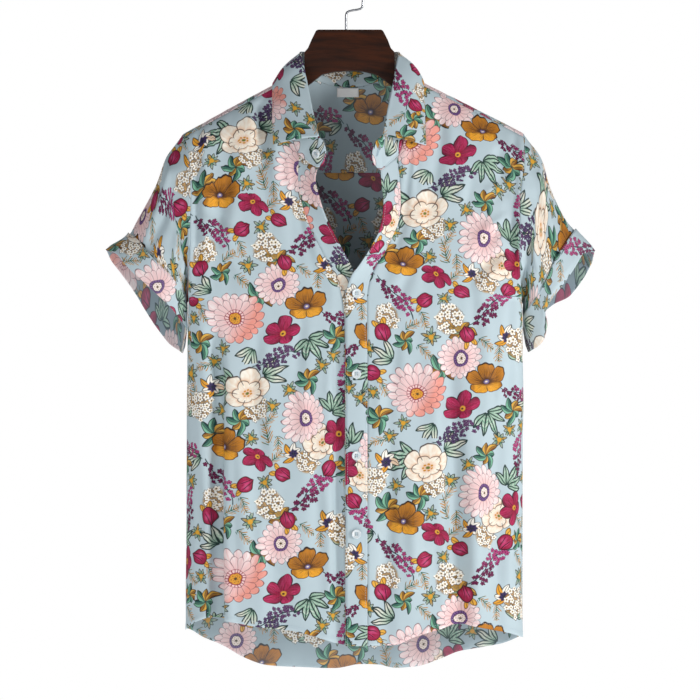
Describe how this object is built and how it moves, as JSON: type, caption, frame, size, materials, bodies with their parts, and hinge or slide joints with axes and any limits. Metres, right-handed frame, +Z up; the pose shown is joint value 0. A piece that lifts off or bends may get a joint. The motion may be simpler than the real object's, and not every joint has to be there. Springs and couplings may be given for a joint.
{
  "type": "short-sleeved shirt on a hanger",
  "caption": "Printed short-sleeved shirt with a pointed collar, button front open at the neck, turned-up cuffs and a curved hem, on a wooden hanger with a wire hook.",
  "frame": {"origin": "inside top of the hanger's hook, where it rests on a rail", "axes": "+Z up, +X to the wearer's left, +Y to the wearer's back, so the shirt's front faces -Y"},
  "size_m": [0.6134, 0.1414, 0.875],
  "materials": {
    "printed_cloth": "smooth woven viscose",
    "placket_cloth": "smooth woven viscose",
    "collar_cloth": "smooth woven viscose",
    "cuff_cloth": "smooth woven viscose",
    "label_white": "woven satin",
    "button_pearl": "pearly",
    "dark_wood": "stained and varnished",
    "bright_steel": "polished wire"
  },
  "bodies": {
    "root": {"back": "printed_cloth", "button_1": "button_pearl", "button_2": "button_pearl", "button_3": "button_pearl", "button_4": "button_pearl", "button_5": "button_pearl", "collar_fall": "collar_cloth", "collar_stand": "collar_cloth", "cuff_left": "cuff_cloth", "cuff_right": "cuff_cloth", "front_left": "printed_cloth", "front_right": "printed_cloth", "hanger_hook": "bright_steel", "hanger_wood": "dark_wood", "label": "label_white", "placket_left": "placket_cloth", "placket_right": "placket_cloth", "sleeve_left": "printed_cloth", "sleeve_right": "printed_cloth", "yoke": "printed_cloth"}
  },
  "joints": []
}
